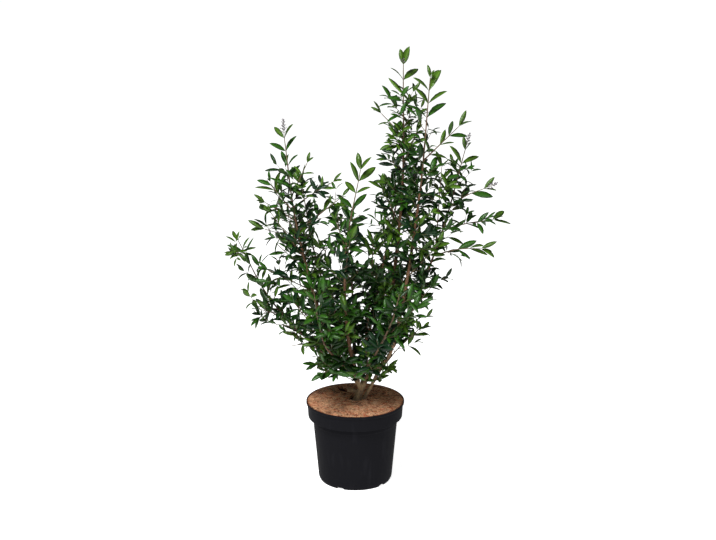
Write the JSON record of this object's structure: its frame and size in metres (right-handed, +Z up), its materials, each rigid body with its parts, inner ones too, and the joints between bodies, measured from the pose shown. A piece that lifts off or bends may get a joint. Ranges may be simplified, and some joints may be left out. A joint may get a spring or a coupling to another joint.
{
  "type": "potted privet",
  "caption": "Bushy evergreen shrub of upright leafy shoots that fork from one short trunk, in a round black nursery pot topped with a coir disc.",
  "frame": {"origin": "centre of the pot's flat underside, where it stands on the ground", "axes": "+Z up along the pot's axis, +X to the viewer's right and -Y towards the viewer of its front"},
  "size_m": [0.7687, 0.5262, 1.2263],
  "materials": {
    "pot": "satin",
    "potting_soil": "matte",
    "coir": "matte",
    "bark": "matte",
    "foliage": "satin"
  },
  "bodies": {
    "root": {"bough_back_left": "bark", "bough_back_middle": "bark", "bough_back_right": "bark", "bough_centre": "bark", "bough_far_left": "bark", "bough_front_left": "bark", "bough_front_right": "bark", "bough_inner_left": "bark", "bough_left_tall": "bark", "bough_middle": "bark", "bough_right_outer": "bark", "bough_right_second": "bark", "bough_right_tall": "bark", "coir_mat": "coir", "foliage_back_left": "foliage", "foliage_back_middle": "foliage", "foliage_back_right": "foliage", "foliage_centre": "foliage", "foliage_far_left": "foliage", "foliage_front_left": "foliage", "foliage_front_right": "foliage", "foliage_inner_left": "foliage", "foliage_left_tall": "foliage", "foliage_low_back": "foliage", "foliage_low_back_left": "foliage", "foliage_low_back_right": "foliage", "foliage_low_front": "foliage", "foliage_low_front_left": "foliage", "foliage_low_front_right": "foliage", "foliage_low_left": "foliage", "foliage_low_left_back": "foliage", "foliage_low_right": "foliage", "foliage_low_right_back": "foliage", "foliage_middle": "foliage", "foliage_right_outer": "foliage", "foliage_right_second": "foliage", "foliage_right_tall": "foliage", "foliage_side_right": "foliage", "foliage_under_left": "foliage", "pot": "pot", "root_ball": "potting_soil", "trunk": "bark"}
  },
  "joints": []
}
